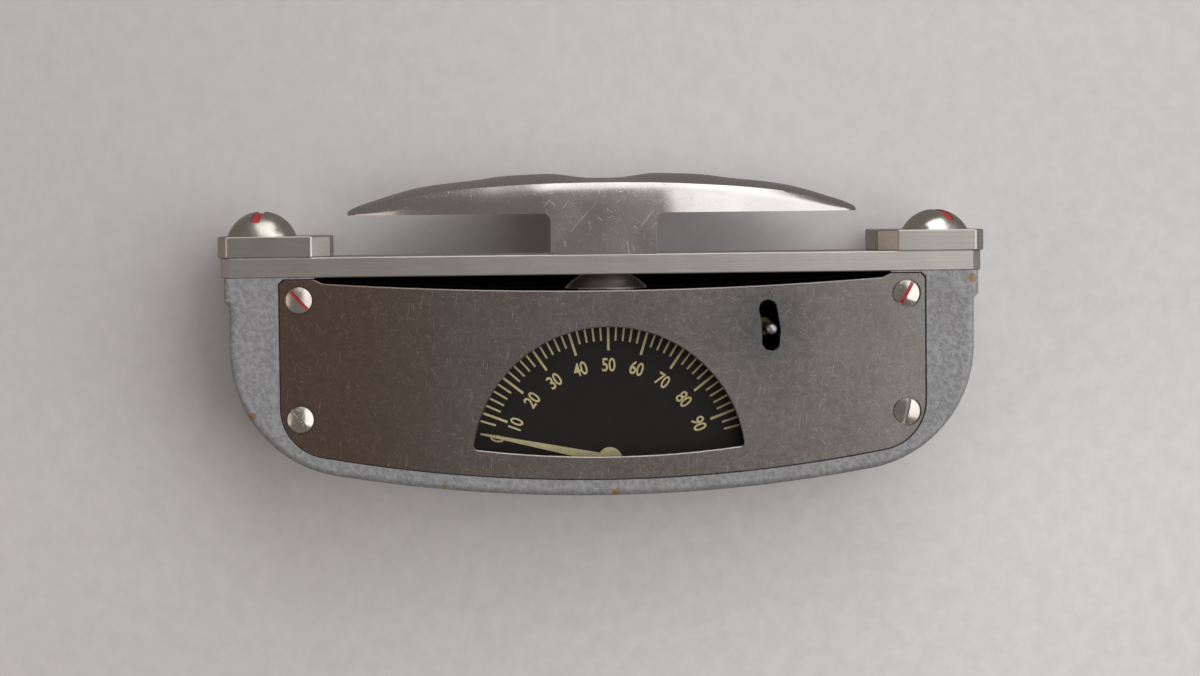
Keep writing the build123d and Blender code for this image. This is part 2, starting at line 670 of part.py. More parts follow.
def pointer():
    """Tapered pointer with a round boss, at rest just under the first tick."""
    turn = 168.0
    tip = polar(AXIS_X, POINTER_Z, POINTER_LONG, turn)
    ends = [polar(*tip, 0.2, turn + 90), polar(*tip, 0.2, turn - 90)]
    root = [polar(AXIS_X, POINTER_Z, 1.05, turn - 90), polar(AXIS_X, POINTER_Z, 1.05, turn + 90)]
    blade = make_face(Polyline(*ends, *root, close=True))
    shape = blade + Pos(AXIS_X, POINTER_Z) * Circle(2.6)
    return drilled(front_shape(shape, *POINTER), [(AXIS_X, POINTER_Z, POINTER_ARBOR_R)], *POINTER)


def brake_disc():
    """Disc that the reset lever's shoe can hold."""
    return bush(AXIS_X, POINTER_Z, BRAKE_R, POINTER_ARBOR_R, *BRAKE)


def reset_lever():
    """Two-armed lever: one arm to the pin, one to the brake shoe."""
    touch = polar(AXIS_X, POINTER_Z, BRAKE_R + SHOE_R + 0.05, 35)
    dx, dz = touch[0] - RESET_X, touch[1] - RESET_Z
    shoe_angle = math.degrees(math.atan2(dz, dx)) + HOLD_ANGLE
    shoe = polar(RESET_X, RESET_Z, math.hypot(dx, dz), shoe_angle)
    pin = polar(RESET_X, RESET_Z, PIN_REACH, PIN_ANGLE)
    shape = Pos(RESET_X, RESET_Z) * Circle(3.0)
    shape += Pos(*shoe) * Circle(SHOE_R) + Pos(*pin) * Circle(1.9)
    for end, angle, w in [(shoe, shoe_angle, 1.2), (pin, PIN_ANGLE, 1.4)]:
        sides = [
            polar(RESET_X, RESET_Z, w, angle + 90), polar(*end, w, angle + 90),
            polar(*end, w, angle - 90), polar(RESET_X, RESET_Z, w, angle - 90)]
        shape += make_face(Polyline(*sides, close=True))
    holes = [(RESET_X, RESET_Z, RESET_R + RUN), (*pin, RESET_R)]
    return drilled(front_shape(shape, *BRAKE), holes, *BRAKE)


def reset_pin():
    """Long pin through the slot, with a ball tip."""
    x, z = polar(RESET_X, RESET_Z, PIN_REACH, PIN_ANGLE)
    rod = disc_y(x, z, RESET_R, FRONT - 0.1, BRAKE[1])
    return rod + Pos(x, FRONT - 0.1, z) * Sphere(1.15)


PARTS = {
    "housing": housing, "front_cover": front_cover, "cover_screws": cover_screws, "window_pane": window_pane,
    "flat_spring": flat_spring,
    "clamp_plate_left": lambda: clamp_plate(-1), "clamp_plate_right": lambda: clamp_plate(1),
    "clamp_screw_left": lambda: clamp_screw(-1, -12), "clamp_screw_right": lambda: clamp_screw(1, 30),
    "grip_handle": grip_handle, "handle_bolt": handle_bolt, "domed_washer": domed_washer,
    "pusher_screw": pusher_screw, "pusher_lock_nut": pusher_lock_nut,
    "dial_plate": dial_plate, "dial_screws": dial_screws,
    "movement_front_plate": movement_front_plate, "movement_back_plate": movement_back_plate,
    "movement_pillars": movement_pillars, "pillar_screws": pillar_screws, "mounting_screws": mounting_screws,
    "pointer_bushes": pointer_bushes, "lever_bushes": lever_bushes,
    "spring_post": spring_post, "zero_stop_pin": zero_stop_pin, "reset_stud": reset_stud,
    "sector_lever": sector_lever, "sector_arbor": sector_arbor, "sector_collar": sector_collar,
    "return_spring": return_spring, "pinion": pinion, "pointer_arbor": pointer_arbor,
    "pointer_hub": pointer_hub, "pointer": pointer, "brake_disc": brake_disc,
    "reset_lever": reset_lever, "reset_pin": reset_pin,
}


def main():
    os.makedirs("parts", exist_ok=True)
    for name, make in PARTS.items():
        export_step(make(), "parts/" + name + ".step")


main()
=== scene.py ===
import math

import bmesh
import bpy
from bpy.props import FloatProperty, FloatVectorProperty, IntProperty, PointerProperty
from mathutils import Matrix, Vector, noise


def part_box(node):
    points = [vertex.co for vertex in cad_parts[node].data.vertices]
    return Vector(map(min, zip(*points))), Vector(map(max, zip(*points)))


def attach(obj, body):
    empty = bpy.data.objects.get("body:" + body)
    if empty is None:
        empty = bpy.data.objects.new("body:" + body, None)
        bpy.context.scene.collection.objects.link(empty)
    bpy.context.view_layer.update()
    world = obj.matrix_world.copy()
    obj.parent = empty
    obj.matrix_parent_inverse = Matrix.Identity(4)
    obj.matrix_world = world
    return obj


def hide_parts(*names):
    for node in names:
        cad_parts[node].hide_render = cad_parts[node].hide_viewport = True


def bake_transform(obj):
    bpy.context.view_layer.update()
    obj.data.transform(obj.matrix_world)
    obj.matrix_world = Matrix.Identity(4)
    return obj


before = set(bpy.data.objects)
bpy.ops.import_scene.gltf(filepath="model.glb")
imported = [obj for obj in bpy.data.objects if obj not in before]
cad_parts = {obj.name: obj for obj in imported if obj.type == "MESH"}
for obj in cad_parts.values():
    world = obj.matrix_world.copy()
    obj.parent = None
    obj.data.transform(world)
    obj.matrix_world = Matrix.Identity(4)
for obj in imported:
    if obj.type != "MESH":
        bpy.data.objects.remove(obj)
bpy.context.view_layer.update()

bl_info = {
    "name": "Hand Dynamometer Finish",
    "version": (1, 0, 0),
    "blender": (4, 5, 0),
    "location": "3D View > Sidebar > Dynamometer",
    "description": "Finishes the packed hand dynamometer: spring bar, grip, dial, paint and metals",
    "category": "Object",
}

MM = 0.001
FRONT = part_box("housing")[0].y
BAR_LOW, BAR_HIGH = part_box("flat_spring")
GRIP_LOW, GRIP_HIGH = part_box("grip_handle")
GRIP_MID = (GRIP_LOW.x + GRIP_HIGH.x) / 2
DIAL_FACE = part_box("dial_plate")[0].y
BELLY_ARC = 327.0  # radius of the housing's bottom, in millimetres
SLIT_LOW, SLIT_HALF = 38.0, 60.5  # the painted shade behind the slit under the bar: lower limit and half width, in millimetres
ARBOR_LOW, ARBOR_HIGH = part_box("pointer_arbor")
AXIS = (ARBOR_LOW + ARBOR_HIGH) / 2


# Sizes and colours a user would change

class DynoCameraSettings(bpy.types.PropertyGroup):
    """Where the photograph was taken from."""
    distance: FloatProperty(name="Distance", description="From the front face", default=0.60, unit="LENGTH")
    scale: FloatProperty(name="Scale", description="Metres per photo pixel at the front face",
        default=0.00020884)
    height: FloatProperty(name="Height", description="Above the lowest point", default=0.0613, unit="LENGTH")
    side: FloatProperty(name="Side", description="Offset along the bar", default=-0.034, unit="LENGTH")
    pitch: FloatProperty(name="Pitch", description="Tilt down", default=math.radians(2.68), subtype="ANGLE")
    yaw: FloatProperty(name="Yaw", description="Turn to the right",
        default=math.radians(3.148), subtype="ANGLE")
    roll: FloatProperty(name="Roll", description="Turn about the view",
        default=math.radians(-0.6), subtype="ANGLE")


class DynoGripSettings(bpy.types.PropertyGroup):
    """Shape of the polished handle."""
    stem_half: FloatProperty(name="Stem half width", description="Half of the stem's width",
        default=10.65 * MM, unit="LENGTH")
    gap: FloatProperty(name="Finger gap", description="Height of the underside above the bar",
        default=8.6 * MM, unit="LENGTH")
    root: FloatProperty(name="Root radius", description="Fillet between stem and grip",
        default=1.7 * MM, unit="LENGTH")
    inset: FloatProperty(name="Side bulge", description="How far the top edge leans in",
        default=1.3 * MM, unit="LENGTH")


class DynoDialSettings(bpy.types.PropertyGroup):
    """Scale printed on the dial."""
    ring: FloatProperty(name="Ring", description="Outer radius of the ticks",
        default=28.4 * MM, unit="LENGTH")
    number_ring: FloatProperty(name="Number ring", description="Radius of the numbers",
        default=19.8 * MM, unit="LENGTH")
    first: FloatProperty(name="Angle of 10", description="Above the left horizontal",
        default=math.radians(20.7), subtype="ANGLE")
    per_kilo: FloatProperty(name="Turn per kilogram", description="Pointer turn",
        default=math.radians(1.7313), subtype="ANGLE")
    last: IntProperty(name="Last tick", description="Highest tick in kilograms", default=94)


class DynoFinishSettings(bpy.types.PropertyGroup):
    """Main colours."""
    paint: FloatVectorProperty(name="Hammered paint", description="Housing colour",
        subtype="COLOR", size=3, default=(0.335, 0.342, 0.355))
    paint_dark: FloatVectorProperty(name="Paint pits", description="Colour in the pits",
        subtype="COLOR", size=3, default=(0.245, 0.252, 0.265))
    nickel: FloatVectorProperty(name="Nickel", description="Cover plating",
        subtype="COLOR", size=3, default=(0.34, 0.325, 0.31))
    # Brown used for the painted reflection on the cover's left side and for its tarnish haze
    tarnish: FloatVectorProperty(name="Tarnish_and_reflection", description="Brown tone of the cover's left side",
        subtype="COLOR", size=3, default=(0.25, 0.185, 0.15))
    steel: FloatVectorProperty(name="Brushed steel", description="Bar and clamps",
        subtype="COLOR", size=3, default=(0.58, 0.56, 0.53))
    polish: FloatVectorProperty(name="Polished grip", description="Handle",
        subtype="COLOR", size=3, default=(0.55, 0.53, 0.52))
    marks: FloatVectorProperty(name="Dial marks", description="Cream marks",
        subtype="COLOR", size=3, default=(0.64, 0.56, 0.30))
    seal: FloatVectorProperty(name="Sealing paint", description="Red paint in slots",
        subtype="COLOR", size=3, default=(0.36, 0.022, 0.028))


# Shader groups

def socket_group(name, inputs, outputs):
    """New shader node group with float or colour sockets; a vector input is never needed."""
    tree = bpy.data.node_groups.new(name, "ShaderNodeTree")
    for label, kind, value in inputs:
        sock = tree.interface.new_socket(label, in_out="INPUT", socket_type=kind)
        sock.default_value = value
    for label, kind in outputs:
        tree.interface.new_socket(label, in_out="OUTPUT", socket_type=kind)
    return tree, tree.nodes.new("NodeGroupInput"), tree.nodes.new("NodeGroupOutput")


def add(tree, kind, values=None, **settings):
    """New node with settings as attributes and values as socket defaults."""
    made = tree.nodes.new(kind)
    for key, value in settings.items():
        setattr(made, key, value)
    for key, value in (values or {}).items():
        made.inputs[key].default_value = value
    return made


def math_node(tree, operation, a, b=None, clamp=False):
    """Math node on sockets or numbers; returns its output."""
    made = add(tree, "ShaderNodeMath", operation=operation, use_clamp=clamp)
    for slot, value in ((0, a), (1, b)):
        if value is None:
            continue
        if isinstance(value, (int, float)):
            made.inputs[slot].default_value = value
        else:
            tree.links.new(value, made.inputs[slot])
    return made.outputs[0]


def position_mm(tree):
    """Place on the object in millimetres, as a vector output."""
    where = add(tree, "ShaderNodeTexCoord")
    scaled = add(tree, "ShaderNodeVectorMath", operation="SCALE", values={"Scale": 1000.0})
    tree.links.new(where.outputs["Object"], scaled.inputs[0])
    return scaled.outputs[0]


def ramp(tree, value, low, high, low_to=0.0, high_to=1.0):
    """Smooth step of a value between two limits."""
    made = add(tree, "ShaderNodeMapRange", interpolation_type="SMOOTHSTEP")
    for key, number in (("From Min", low), ("From Max", high), ("To Min", low_to), ("To Max", high_to)):
        if isinstance(number, (int, float)):
            made.inputs[key].default_value = number
        else:
            tree.links.new(number, made.inputs[key])
    tree.links.new(value, made.inputs["Value"])
    return made.outputs[0]


def blended(tree, factor, first, second):
    """Colour mix of two colours or sockets."""
    made = add(tree, "ShaderNodeMix", data_type="RGBA")
    for slot, value in ((0, factor), (6, first), (7, second)):
        if isinstance(value, (int, float)):
            made.inputs[slot].default_value = value
        elif isinstance(value, (tuple, list)) or not hasattr(value, "links"):
            made.inputs[slot].default_value = (*value[:3], 1.0)
        else:
            tree.links.new(value, made.inputs[slot])
    return made.outputs[2]


def build_grain():
    """Brushed lines along X: a height and a streak mask."""
    tree, inp, out = socket_group("brushed_grain", [
        ("Fineness", "NodeSocketFloat", 9.0), ("Length", "NodeSocketFloat", 0.05)],
        [("Height", "NodeSocketFloat"), ("Streak", "NodeSocketFloat")])
    place = position_mm(tree)
    stretch = add(tree, "ShaderNodeCombineXYZ")
    tree.links.new(inp.outputs["Length"], stretch.inputs[0])
    tree.links.new(inp.outputs["Fineness"], stretch.inputs[1])
    tree.links.new(inp.outputs["Fineness"], stretch.inputs[2])
    lines = add(tree, "ShaderNodeVectorMath", operation="MULTIPLY")
    tree.links.new(place, lines.inputs[0])
    tree.links.new(stretch.outputs[0], lines.inputs[1])
    fine = add(tree, "ShaderNodeTexNoise", values={"Scale": 1.0, "Detail": 3.0, "Roughness": 0.65})
    tree.links.new(lines.outputs[0], fine.inputs["Vector"])
    broad = add(tree, "ShaderNodeVectorMath", operation="SCALE", values={"Scale": 0.33})
    tree.links.new(lines.outputs[0], broad.inputs[0])
    wide = add(tree, "ShaderNodeTexNoise", values={"Scale": 1.0, "Detail": 2.0})
    tree.links.new(broad.outputs[0], wide.inputs["Vector"])
    tree.links.new(fine.outputs["Fac"], out.inputs["Height"])
    streak = ramp(tree, math_node(tree, "ADD", math_node(tree, "MULTIPLY", wide.outputs["Fac"], 0.6),
                                  math_node(tree, "MULTIPLY", fine.outputs["Fac"], 0.4)), 0.38, 0.62)
    tree.links.new(streak, out.inputs["Streak"])
    return tree


def build_scratches():
    """Straight fine scratches in several directions, in front view, and a soft haze."""
    tree, inp, out = socket_group("fine_scratches", [
        ("Fineness", "NodeSocketFloat", 5.0), ("Amount", "NodeSocketFloat", 0.5), ("Turn", "NodeSocketFloat", 0.0)],
        [("Mask", "NodeSocketFloat"), ("Haze", "NodeSocketFloat")])
    place = position_mm(tree)
    start = math_node(tree, "SUBTRACT", 0.80, math_node(tree, "MULTIPLY", inp.outputs["Amount"], 0.22))
    total = None
    for k, angle in enumerate((0.35, 1.25, 2.0, 2.75)):
        turned = add(tree, "ShaderNodeVectorRotate", rotation_type="Y_AXIS")
        tree.links.new(place, turned.inputs["Vector"])
        tree.links.new(math_node(tree, "ADD", inp.outputs["Turn"], angle), turned.inputs["Angle"])
        spread = add(tree, "ShaderNodeVectorMath", operation="MULTIPLY")
        spread.inputs[1].default_value = (0.03 + 0.012 * k, 0.4, 1.0)
        tree.links.new(turned.outputs[0], spread.inputs[0])
        moved = add(tree, "ShaderNodeVectorMath", operation="ADD")
        moved.inputs[1].default_value = (7.3 * k, 3.1 * k, 5.7 * k)
        tree.links.new(spread.outputs[0], moved.inputs[0])
        lines = add(tree, "ShaderNodeTexNoise", values={"Detail": 2.0, "Roughness": 0.55})
        tree.links.new(moved.outputs[0], lines.inputs["Vector"])
        tree.links.new(inp.outputs["Fineness"], lines.inputs["Scale"])
        line = ramp(tree, lines.outputs["Fac"], start, math_node(tree, "ADD", start, 0.05))
        total = line if total is None else math_node(tree, "MAXIMUM", total, line)
    tree.links.new(total, out.inputs["Mask"])
    haze = add(tree, "ShaderNodeTexNoise", values={"Scale": 0.09, "Detail": 2.0, "Roughness": 0.5})
    tree.links.new(place, haze.inputs["Vector"])
    tree.links.new(ramp(tree, haze.outputs["Fac"], 0.3, 0.75), out.inputs["Haze"])
    return tree


def build_spot():
    """Soft round spot at a place in millimetres with a ragged border."""
    tree, inp, out = socket_group("ragged_spot", [
        ("X", "NodeSocketFloat", 0.0), ("Y", "NodeSocketFloat", 0.0), ("Z", "NodeSocketFloat", 0.0),
        ("Radius", "NodeSocketFloat", 3.0), ("Softness", "NodeSocketFloat", 0.3),
        ("Raggedness", "NodeSocketFloat", 1.0)],
        [("Mask", "NodeSocketFloat")])
    place = position_mm(tree)
    centre = add(tree, "ShaderNodeCombineXYZ")
    for k, key in enumerate("XYZ"):
        tree.links.new(inp.outputs[key], centre.inputs[k])
    gap = add(tree, "ShaderNodeVectorMath", operation="DISTANCE")
    tree.links.new(place, gap.inputs[0])
    tree.links.new(centre.outputs[0], gap.inputs[1])
    edge = add(tree, "ShaderNodeTexNoise", values={"Scale": 0.9, "Detail": 4.0, "Roughness": 0.6})
    tree.links.new(place, edge.inputs["Vector"])
    rough = math_node(tree, "MULTIPLY", math_node(tree, "SUBTRACT", edge.outputs["Fac"], 0.5),
                      math_node(tree, "MULTIPLY", inp.outputs["Raggedness"], 4.0))
    reach = math_node(tree, "SUBTRACT", math_node(tree, "ADD", gap.outputs["Value"], rough), inp.outputs["Radius"])
    soft = math_node(tree, "MULTIPLY", inp.outputs["Softness"], inp.outputs["Radius"])
    tree.links.new(ramp(tree, reach, math_node(tree, "MULTIPLY", soft, -1.0), soft, 1.0, 0.0), out.inputs["Mask"])
    return tree


GROUPS = {}


def shared(tree, name, **values):
    """Places a shared group in a material with its own values."""
    makers = {"grain": build_grain, "scratches": build_scratches, "spot": build_spot}
    if name not in GROUPS:
        GROUPS[name] = makers[name]()
    made = add(tree, "ShaderNodeGroup", node_tree=GROUPS[name])
    for key, value in values.items():
        made.inputs[key].default_value = value
    return made.outputs


def material(name):
    """Empty material with one Principled shader; returns material, tree and shader."""
    made = bpy.data.materials.new(name)
    made.use_nodes = True
    tree = made.node_tree
    return made, tree, tree.nodes["Principled BSDF"]


def bump(tree, height, distance, strength, after=None):
    """Bump node from a height in millimetres' worth of distance."""
    made = add(tree, "ShaderNodeBump", values={"Strength": strength, "Distance": distance * MM})
    tree.links.new(height, made.inputs["Height"])
    if after is not None:
        tree.links.new(after, made.inputs["Normal"])
    return made.outputs[0]


def axis_of(tree, vector, axis):
    """One coordinate of a vector output."""
    parts = add(tree, "ShaderNodeSeparateXYZ")
    tree.links.new(vector, parts.inputs[0])
    return parts.outputs[axis]


def within(tree, value, low, high):
    """Mask of the places where a value lies between two limits."""
    return math_node(tree, "MULTIPLY", math_node(tree, "GREATER_THAN", value, low),
                     math_node(tree, "LESS_THAN", value, high))


def hollow_mask(tree, place):
    """Mask of the housing's inner walls and the mouth under the bar, from the cavity's limits in millimetres, where
    near-black painted shade goes.
    """
    side = math_node(tree, "ABSOLUTE", axis_of(tree, place, "X"))
    depth = axis_of(tree, place, "Y")
    flat = add(tree, "ShaderNodeVectorMath", operation="MULTIPLY")
    flat.inputs[1].default_value = (1.0, 0.0, 1.0)
    tree.links.new(place, flat.inputs[0])
    reach = add(tree, "ShaderNodeVectorMath", operation="DISTANCE")
    reach.inputs[1].default_value = (0.0, 0.0, BELLY_ARC)
    tree.links.new(flat.outputs[0], reach.inputs[0])
    wall = math_node(tree, "LESS_THAN", reach.outputs["Value"], BELLY_ARC - 2.0)
    room = math_node(tree, "MULTIPLY", within(tree, depth, FRONT / MM + 1.35, -FRONT / MM - 2.8),
                     math_node(tree, "LESS_THAN", side, 61.0))
    mouth = math_node(tree, "MULTIPLY", within(tree, depth, FRONT / MM + 1.35, -FRONT / MM - 0.08),
                      math_node(tree, "MULTIPLY", math_node(tree, "LESS_THAN", side, 60.6),
                                math_node(tree, "GREATER_THAN", axis_of(tree, place, "Z"), 41.0)))
    return math_node(tree, "MAXIMUM", mouth, math_node(tree, "MULTIPLY", wall, room))


# Ochre chips in the housing's paint: place and radius in millimetres
CHIPS = (
    (77.6, -12.0, 45.0, 1.1), (-74.0, -12.2, 17.5, 0.9), (2.0, -12.2, 0.9, 0.8), (-34.0, -12.3, 2.9, 0.5),
)


def hammered_paint(finish):
    """Light grey hammered enamel with small pits and a few ochre chips; the hollow inside gets near-black painted
    shade.
    """
    made, tree, shader = material("hammered_paint")
    place = position_mm(tree)
    pits = add(tree, "ShaderNodeTexNoise",
               values={"Scale": 1.25, "Detail": 3.0, "Roughness": 0.6, "Distortion": 0.5})
    tree.links.new(place, pits.inputs["Vector"])
    cells = add(tree, "ShaderNodeTexVoronoi", feature="SMOOTH_F1", values={"Scale": 0.95, "Smoothness": 0.6})
    tree.links.new(place, cells.inputs["Vector"])
    mixed = math_node(tree, "ADD", math_node(tree, "MULTIPLY", pits.outputs["Fac"], 0.7),
                      math_node(tree, "MULTIPLY", cells.outputs["Distance"], 0.35))
    tone = blended(tree, ramp(tree, mixed, 0.40, 0.66), finish.paint_dark, finish.paint)
    dirt = add(tree, "ShaderNodeTexNoise", values={"Scale": 0.12, "Detail": 4.0, "Roughness": 0.6})
    tree.links.new(place, dirt.inputs["Vector"])
    tone = blended(tree, ramp(tree, dirt.outputs["Fac"], 0.45, 0.75, 0.0, 0.35), tone, (0.19, 0.185, 0.18))
    chips = None
    for x, y, z, r in CHIPS:
        mask = shared(tree, "spot", X=x, Y=y, Z=z, Radius=r, Softness=0.15, Raggedness=0.6)["Mask"]
        chips = mask if chips is None else math_node(tree, "MAXIMUM", chips, mask)
    tone = blended(tree, chips, tone, (0.30, 0.20, 0.09))
    # Painted shade: the inner walls and the mouth under the bar are coloured near-black and lose their shine,
    # standing in for the shadow inside.
    hollow_shade = hollow_mask(tree, place)
    tree.links.new(blended(tree, hollow_shade, tone, (0.006, 0.006, 0.006)), shader.inputs["Base Color"])
    tree.links.new(ramp(tree, mixed, 0.4, 0.65, 0.52, 0.38), shader.inputs["Roughness"])
    shader.inputs["Metallic"].default_value = 0.1
    tree.links.new(math_node(tree, "MULTIPLY", math_node(tree, "SUBTRACT", 1.0, hollow_shade), 0.5),
                   shader.inputs["Specular IOR Level"])
    height = math_node(tree, "SUBTRACT", mixed, math_node(tree, "MULTIPLY", chips, 0.4))
    tree.links.new(bump(tree, height, 0.3, 0.7), shader.inputs["Normal"])
    return made


def plated_cover(finish):
    """Nickel plating with a painted brown reflection darkening it to the left, a brown haze of tarnish, fine
    scratches and a bluish stain round the slot.
    """
    made, tree, shader = material("nickel_cover_plate")
    place = position_mm(tree)
    lines = shared(tree, "scratches", Fineness=4.0, Amount=0.45, Turn=0.2)
    fine = shared(tree, "scratches", Fineness=9.0, Amount=0.5, Turn=1.1)
    speck = add(tree, "ShaderNodeTexNoise", values={"Scale": 0.7, "Detail": 6.0, "Roughness": 0.75})
    tree.links.new(place, speck.inputs["Vector"])
    # Painted reflection: the plating darkens to brown towards the left, standing in for the dark surroundings it
    # mirrors; the haze below adds real tarnish.
    tone = blended(tree, ramp(tree, axis_of(tree, place, "X"), -60.0, -5.0), finish.tarnish, finish.nickel)
    tone = blended(tree, math_node(tree, "MULTIPLY", lines["Haze"], 0.3), tone, finish.tarnish)
    tone = blended(tree, ramp(tree, speck.outputs["Fac"], 0.52, 0.72, 0.0, 0.35), tone, (0.12, 0.10, 0.085))
    stain = shared(tree, "spot", X=34.0, Y=-12.5, Z=35.5, Radius=8.5, Softness=0.8, Raggedness=1.6)["Mask"]
    tone = blended(tree, math_node(tree, "MULTIPLY", stain, 0.65), tone, (0.17, 0.185, 0.22))
    tone = blended(tree, math_node(tree, "MULTIPLY", fine["Mask"], 0.16), tone, (0.62, 0.59, 0.55))
    tree.links.new(tone, shader.inputs["Base Color"])
    shader.inputs["Metallic"].default_value = 1.0
    rough = math_node(tree, "ADD", ramp(tree, speck.outputs["Fac"], 0.35, 0.7, 0.22, 0.30),
                      math_node(tree, "MULTIPLY", lines["Mask"], 0.08))
    tree.links.new(rough, shader.inputs["Roughness"])
    first = bump(tree, lines["Mask"], 0.012, 0.5)
    tree.links.new(bump(tree, fine["Mask"], 0.008, 0.5, first), shader.inputs["Normal"])
    return made


def brushed_steel(name, colour, fineness, warm):
    """Steel brushed along X."""
    made, tree, shader = material(name)
    grain = shared(tree, "grain", Fineness=fineness, Length=0.06)
    lines = shared(tree, "scratches", Fineness=3.0, Amount=0.5, Turn=0.9)
    tone = blended(tree, grain["Streak"], tuple(c * 0.86 for c in colour), colour)
    tone = blended(tree, math_node(tree, "MULTIPLY", lines["Haze"], warm), tone, (0.36, 0.33, 0.28))
    tree.links.new(tone, shader.inputs["Base Color"])
    shader.inputs["Metallic"].default_value = 1.0
    tree.links.new(ramp(tree, grain["Streak"], 0.0, 1.0, 0.36, 0.31), shader.inputs["Roughness"])
    first = bump(tree, grain["Height"], 0.03, 0.6)
    tree.links.new(bump(tree, lines["Mask"], 0.015, 0.4, first), shader.inputs["Normal"])
    return made


def polished_grip(finish):
    """Polished handle with many short handling scratches."""
    made, tree, shader = material("polished_handle")
    lines = shared(tree, "scratches", Fineness=3.0, Amount=0.48, Turn=0.5)
    fine = shared(tree, "scratches", Fineness=7.0, Amount=0.6, Turn=2.2)
    tone = blended(tree, math_node(tree, "MULTIPLY", lines["Haze"], 0.5), finish.polish,
                   tuple(c * 0.85 for c in finish.polish))
    tree.links.new(tone, shader.inputs["Base Color"])
    shader.inputs["Metallic"].default_value = 1.0
    rough = math_node(tree, "ADD", ramp(tree, lines["Haze"], 0.0, 1.0, 0.19, 0.26),
                      math_node(tree, "MULTIPLY", lines["Mask"], 0.12))
    tree.links.new(rough, shader.inputs["Roughness"])
    first = bump(tree, lines["Mask"], 0.008, 0.6)
    tree.links.new(bump(tree, fine["Mask"], 0.004, 0.6, first), shader.inputs["Normal"])
    return made


def plated_screw(name, colour, low=0.16, high=0.32):
    """Nickel-plated screw, hazed and lightly scratched."""
    made, tree, shader = material(name)
    lines = shared(tree, "scratches", Fineness=5.0, Amount=0.6, Turn=1.7)
    tone = blended(tree, lines["Haze"], colour, tuple(c * 0.8 for c in colour))
    tree.links.new(tone, shader.inputs["Base Color"])
    shader.inputs["Metallic"].default_value = 1.0
    tree.links.new(ramp(tree, lines["Haze"], 0.0, 1.0, low, high), shader.inputs["Roughness"])
    tree.links.new(bump(tree, lines["Mask"], 0.015, 0.6), shader.inputs["Normal"])
    return made


def painted(name, colour, rough, speck, shine=0.5):
    """Plain paint with fine specks and a slight orange-peel."""
    made, tree, shader = material(name)
    place = position_mm(tree)
    peel = add(tree, "ShaderNodeTexNoise", values={"Scale": 3.0, "Detail": 4.0, "Roughness": 0.6})
    tree.links.new(place, peel.inputs["Vector"])
    wide = add(tree, "ShaderNodeTexNoise", values={"Scale": 0.4, "Detail": 3.0})
    tree.links.new(place, wide.inputs["Vector"])
    tone = blended(tree, ramp(tree, peel.outputs["Fac"], 0.35, 0.7), colour, speck)
    tone = blended(tree, ramp(tree, wide.outputs["Fac"], 0.4, 0.7, 0.0, 0.35), tone, tuple(c * 0.6 for c in colour))
    tree.links.new(tone, shader.inputs["Base Color"])
    shader.inputs["Specular IOR Level"].default_value = shine
    tree.links.new(ramp(tree, wide.outputs["Fac"], 0.3, 0.7, rough, rough + 0.15), shader.inputs["Roughness"])
    tree.links.new(bump(tree, peel.outputs["Fac"], 0.03, 0.4), shader.inputs["Normal"])
    return made


def clear_pane():
    """Clear acrylic with faint dust."""
    made, tree, shader = material("clear_acrylic")
    place = position_mm(tree)
    dust = add(tree, "ShaderNodeTexNoise", values={"Scale": 2.2, "Detail": 5.0, "Roughness": 0.7})
    tree.links.new(place, dust.inputs["Vector"])
    tree.links.new(ramp(tree, dust.outputs["Fac"], 0.55, 0.8, 0.012, 0.035), shader.inputs["Alpha"])
    tree.links.new(ramp(tree, dust.outputs["Fac"], 0.4, 0.8, 0.03, 0.12), shader.inputs["Roughness"])
    tone = blended(tree, ramp(tree, dust.outputs["Fac"], 0.5, 0.8), (0.35, 0.35, 0.34), (0.60, 0.58, 0.54))
    tree.links.new(tone, shader.inputs["Base Color"])
    shader.inputs["Specular IOR Level"].default_value = 0.3
    return made


MADE = {}


def finish_of(name):
    """Material by name, made once."""
    f = bpy.context.scene.dyno_finish
    makers = {
        "paint": lambda: hammered_paint(f),
        "cover": lambda: plated_cover(f),
        "bar": lambda: brushed_steel("brushed_spring_bar", tuple(f.steel), 11.0, 0.25),
        "clamp": lambda: brushed_steel("brushed_clamp_plate", tuple(c * 0.88 for c in f.steel), 9.0, 0.45),
        "grip": lambda: polished_grip(f),
        "screw": lambda: plated_screw("nickel_screw_head", (0.60, 0.57, 0.52)),
        "washer": lambda: plated_screw("satin_washer", (0.70, 0.68, 0.64), 0.38, 0.5),
        "steel": lambda: plated_screw("plain_steel", (0.42, 0.42, 0.42), 0.3, 0.45),
        "brass": lambda: plated_screw("satin_brass", (0.66, 0.48, 0.22), 0.3, 0.45),
        "dial": lambda: painted("dial_black", (0.007, 0.006, 0.005), 0.45, (0.012, 0.010, 0.008), 0.12),
        "marks": lambda: painted("dial_cream", tuple(f.marks), 0.55, tuple(c * 0.85 for c in f.marks), 0.2),
        "pointer": lambda: painted("pointer_khaki", (0.42, 0.37, 0.20), 0.45, (0.48, 0.43, 0.26), 0.3),
        "seal": lambda: painted("sealing_red", tuple(f.seal), 0.4, (0.55, 0.06, 0.05)),
        "pane": clear_pane,
    }
    if name not in MADE:
        MADE[name] = makers[name]()
    return MADE[name]


# Mesh helpers

def give(obj, finish, body=None):
    """Assigns a material, and attaches the piece to a body when one is given."""
    made = finish_of(finish)
    if obj.data.materials:
        for k in range(len(obj.data.materials)):
            obj.data.materials[k] = made
    else:
        obj.data.materials.append(made)
    if body:
        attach(obj, body)
    return obj


def cad(node, finish, edge=0.0, segments=2):
    """Finishes a carried-over CAD node and breaks its sharp edges."""
    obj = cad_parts[node]
    give(obj, finish)
    if edge:
        soften(obj, edge, segments)
    return obj


